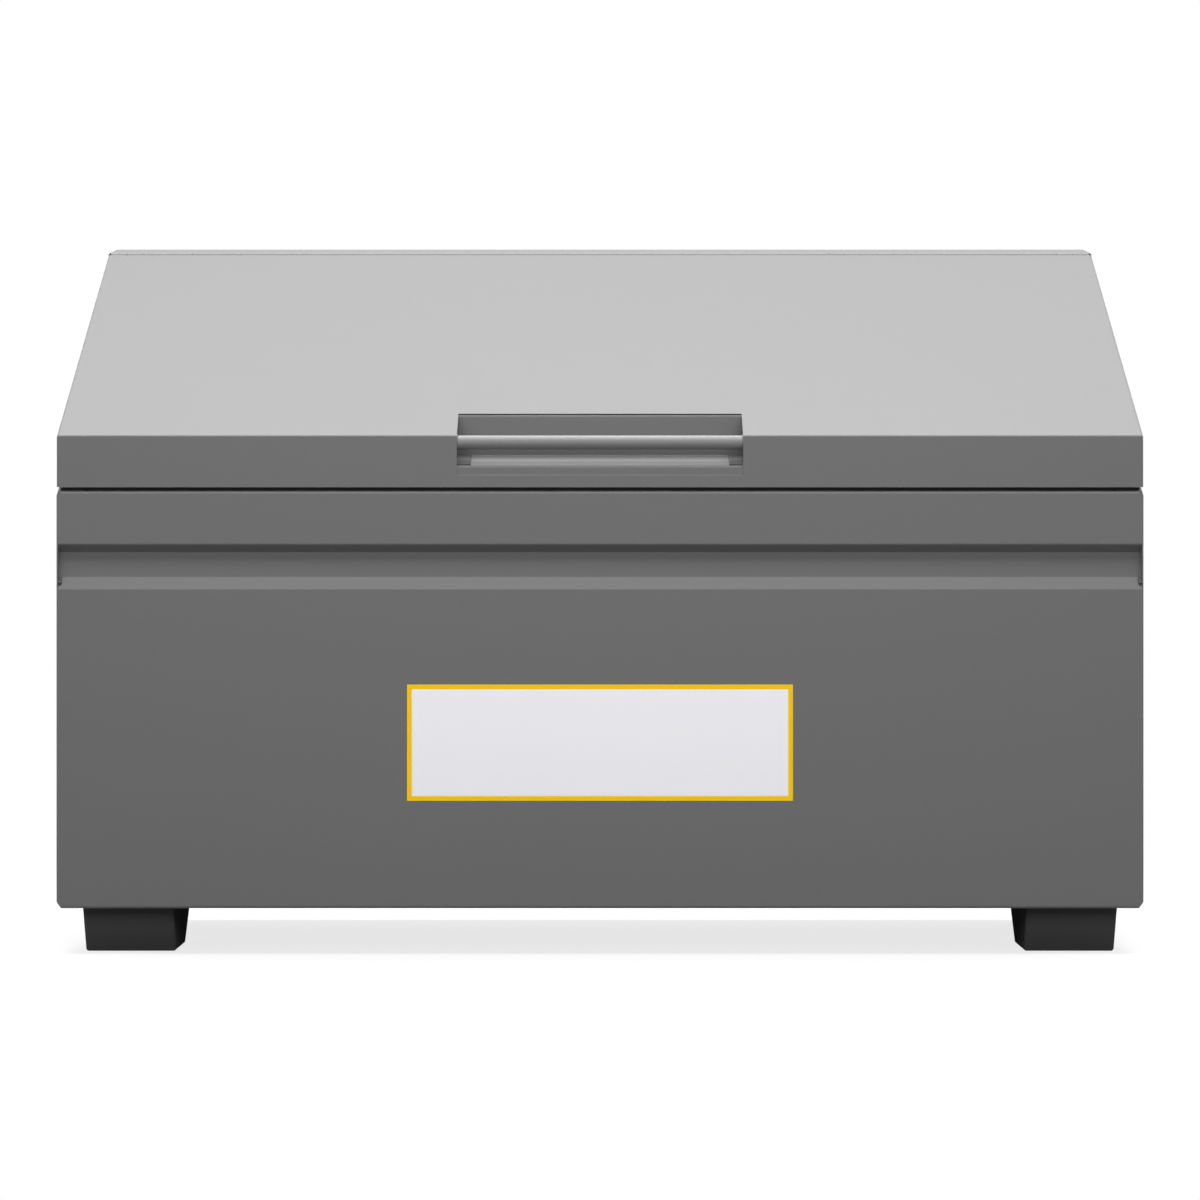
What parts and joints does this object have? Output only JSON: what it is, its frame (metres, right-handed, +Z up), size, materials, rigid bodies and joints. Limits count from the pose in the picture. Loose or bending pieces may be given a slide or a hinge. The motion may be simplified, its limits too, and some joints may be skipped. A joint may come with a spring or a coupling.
{
  "type": "jobsite storage box",
  "caption": "Sheet-steel site storage chest with a sloping hinged lid, recessed grab bar, ribbed front, skid feet and side drop handles.",
  "frame": {"origin": "on the floor under the middle of the box", "axes": "+X along the width towards the right side seen from the front, +Y from the front panel to the back panel, +Z up"},
  "size_m": [1.576, 0.7622, 1.0416],
  "materials": {
    "grey_paint": "fine textured powder coat",
    "zinc_plate": "zinc plated",
    "spring_tube": "gloss black enamel",
    "spring_rod": "ground and plated",
    "spring_socket": "moulded",
    "seal_rubber": "closed-cell foam",
    "grip_rubber": "matte",
    "label_field": "satin film",
    "label_border": "satin film"
  },
  "bodies": {
    "box": {"back_panel": "grey_paint", "corner_angles": "grey_paint", "floor_channels": "grey_paint", "floor_panel": "grey_paint", "foot_front_left": "grey_paint", "foot_front_right": "grey_paint", "foot_rear_left": "grey_paint", "foot_rear_right": "grey_paint", "front_panel": "grey_paint", "handle_mounts_left": "zinc_plate", "handle_mounts_right": "zinc_plate", "handle_rivets": "zinc_plate", "hinge_leaf_body": "zinc_plate", "hinge_pin": "zinc_plate", "label_border": "label_border", "label_field": "label_field", "ledge_channel": "grey_paint", "lock_eye_left": "zinc_plate", "lock_eye_right": "zinc_plate", "lock_recess_left": "grey_paint", "lock_recess_right": "grey_paint", "lower_nuts": "zinc_plate", "lower_studs": "zinc_plate", "rear_corner_caps": "grey_paint", "side_panel_left": "grey_paint", "side_panel_right": "grey_paint", "spring_bracket_body_left": "grey_paint", "spring_bracket_body_right": "grey_paint", "weather_seal": "seal_rubber"},
    "lid": {"lid_skin": "grey_paint", "handle_pocket": "grey_paint", "pocket_end_right": "grey_paint", "pocket_end_left": "grey_paint", "handle_bar": "grey_paint", "lid_channel_front": "grey_paint", "lid_channel_rear": "grey_paint", "lid_channel_left": "grey_paint", "lid_channel_right": "grey_paint", "hinge_leaf_lid": "zinc_plate", "lock_lug_right": "zinc_plate", "lock_lug_left": "zinc_plate", "spring_bracket_lid_right": "grey_paint", "spring_bracket_lid_left": "grey_paint", "upper_nuts": "zinc_plate"},
    "spring_rod_left": {"gas_spring_rod_left": "spring_rod", "rod_socket_left": "spring_socket"},
    "spring_tube_left": {"gas_spring_tube_left": "spring_tube", "tube_socket_left": "spring_socket", "tube_stud_left": "zinc_plate"},
    "side_handle_left": {"side_handle_left": "zinc_plate", "side_grip_left": "grip_rubber"},
    "spring_rod_right": {"gas_spring_rod_right": "spring_rod", "rod_socket_right": "spring_socket"},
    "spring_tube_right": {"gas_spring_tube_right": "spring_tube", "tube_socket_right": "spring_socket", "tube_stud_right": "zinc_plate"},
    "side_handle_right": {"side_handle_right": "zinc_plate", "side_grip_right": "grip_rubber"}
  },
  "joints": [
    {"name": "lid_hinge", "type": "hinge", "parent": "box", "child": "lid", "pos_m": [0, 0.35699, 1.0306], "axis": [-1, 0, 0], "range_deg": [0, 90]},
    {"name": "spring_swing_left", "type": "hinge", "parent": "box", "child": "spring_rod_left", "pos_m": [-0.7, 0.33699, 0.7306], "axis": [-1, 0, 0], "range_deg": [0, 3.19]},
    {"name": "spring_stroke_left", "type": "slide", "parent": "spring_rod_left", "child": "spring_tube_left", "axis": [0, -0.1697, 0.9855], "range_m": [0, 0.12235]},
    {"name": "handle_swing_left", "type": "hinge", "parent": "box", "child": "side_handle_left", "pos_m": [-0.777, 0, 0.4332], "axis": [0, 1, 0], "range_deg": [-2, 90]},
    {"name": "spring_swing_right", "type": "hinge", "parent": "box", "child": "spring_rod_right", "pos_m": [0.7, 0.33699, 0.7306], "axis": [-1, 0, 0], "range_deg": [0, 3.19]},
    {"name": "spring_stroke_right", "type": "slide", "parent": "spring_rod_right", "child": "spring_tube_right", "axis": [0, -0.1697, 0.9855], "range_m": [0, 0.12235]},
    {"name": "handle_swing_right", "type": "hinge", "parent": "box", "child": "side_handle_right", "pos_m": [0.777, 0, 0.4332], "axis": [0, -1, 0], "range_deg": [-2, 90]}
  ],
  "couplings": [
    {"joint": "spring_swing_left", "follows": "lid_hinge", "ratio": 0.034925},
    {"joint": "spring_stroke_left", "follows": "lid_hinge", "m_per_rad": 0.077573},
    {"joint": "spring_swing_right", "follows": "lid_hinge", "ratio": 0.034925},
    {"joint": "spring_stroke_right", "follows": "lid_hinge", "m_per_rad": 0.077573}
  ]
}
